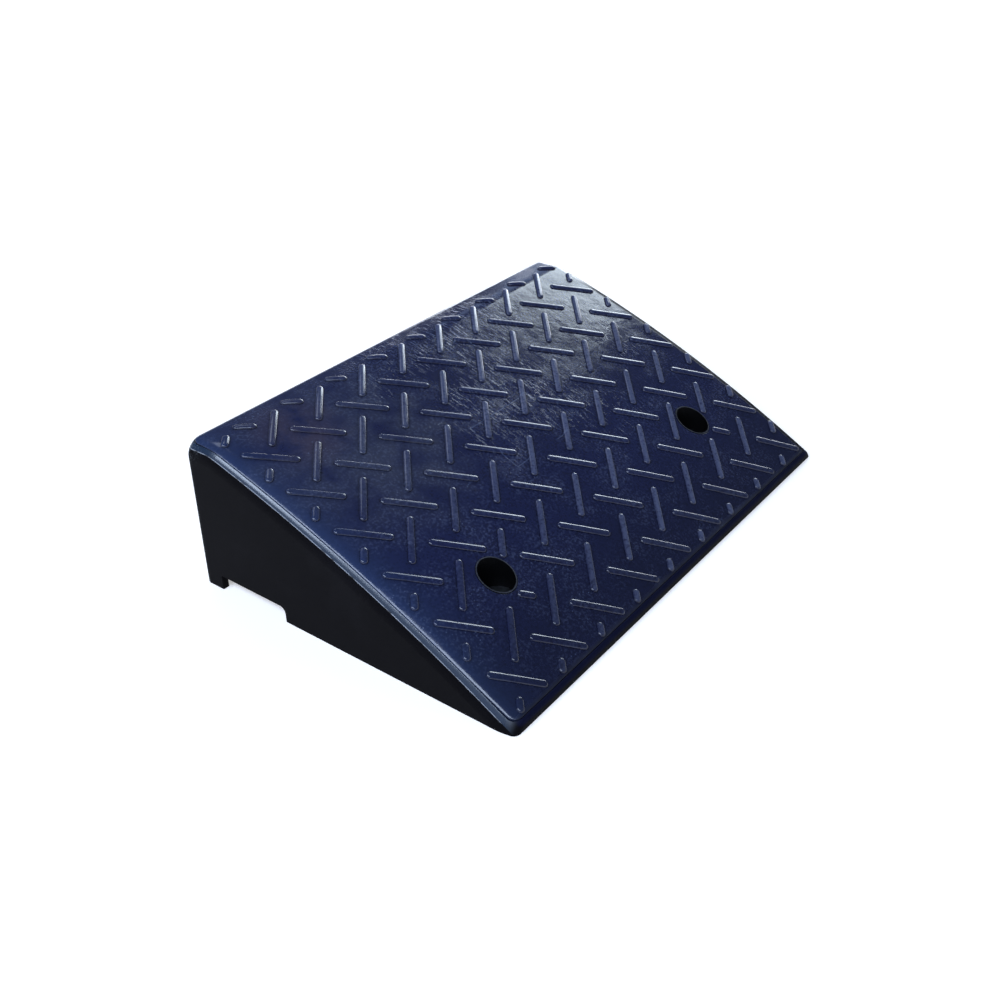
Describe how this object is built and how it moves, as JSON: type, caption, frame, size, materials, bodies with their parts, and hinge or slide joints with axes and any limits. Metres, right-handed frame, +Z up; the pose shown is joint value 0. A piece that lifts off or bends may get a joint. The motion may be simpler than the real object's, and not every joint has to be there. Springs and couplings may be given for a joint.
{
  "type": "rubber kerb ramp",
  "caption": "Wedge-shaped rubber kerb ramp: convex wearing deck with crossed raised bars on a hollow ribbed body, lined bolt holes with seat washers, and a cable and drain channel underneath.",
  "frame": {"origin": "on the ground, under the middle of the ramp's length and depth", "axes": "+X along the kerb, +Y from the thin toe to the high rear wall that stands against the kerb, +Z up"},
  "size_m": [0.5, 0.3364, 0.142],
  "materials": {
    "body_rubber": "matt black moulded rubber",
    "deck_rubber": "glossy dark navy rubber with fine scuffs",
    "sleeve_plastic": "black tube with a worn grey rim",
    "washer_steel": "dull zinc-plated"
  },
  "bodies": {
    "root": {"body": "body_rubber", "tread_deck": "deck_rubber", "bolt_sleeve_left": "sleeve_plastic", "bolt_sleeve_right": "sleeve_plastic", "seat_washer_left": "washer_steel", "seat_washer_right": "washer_steel"}
  },
  "joints": []
}
